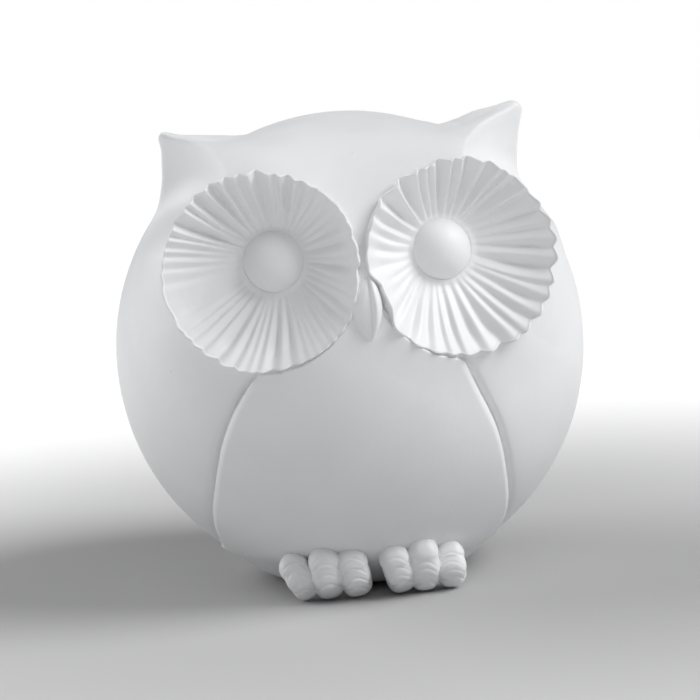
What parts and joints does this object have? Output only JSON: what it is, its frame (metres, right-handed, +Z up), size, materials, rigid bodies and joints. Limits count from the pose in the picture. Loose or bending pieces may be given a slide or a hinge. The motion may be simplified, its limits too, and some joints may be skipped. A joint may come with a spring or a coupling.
{
  "type": "owl figurine",
  "caption": "Round white ceramic owl figurine with pleated dish eyes, domed pupils, ear tufts, a raised belly panel and toes on a flat padded base.",
  "frame": {"origin": "table level, under the middle of the figurine's bounding box", "axes": "+Z up from the table, -Y the way the owl faces, +X to the right as seen from the front"},
  "size_m": [0.2, 0.2065, 0.197],
  "materials": {
    "glaze_body": "satin",
    "glaze_disc_left": "satin",
    "glaze_disc_right": "satin",
    "glaze_pupil": "satin",
    "glaze_beak": "satin",
    "glaze_foot": "satin",
    "felt": "matte"
  },
  "bodies": {
    "root": {"body_shell": "glaze_body", "eye_disc_left": "glaze_disc_left", "eye_disc_right": "glaze_disc_right", "pupil_left": "glaze_pupil", "pupil_right": "glaze_pupil", "beak": "glaze_beak", "foot_left": "glaze_foot", "foot_right": "glaze_foot", "felt_pad_front_left": "felt", "felt_pad_front_right": "felt", "felt_pad_back_left": "felt", "felt_pad_back_right": "felt"}
  },
  "joints": []
}
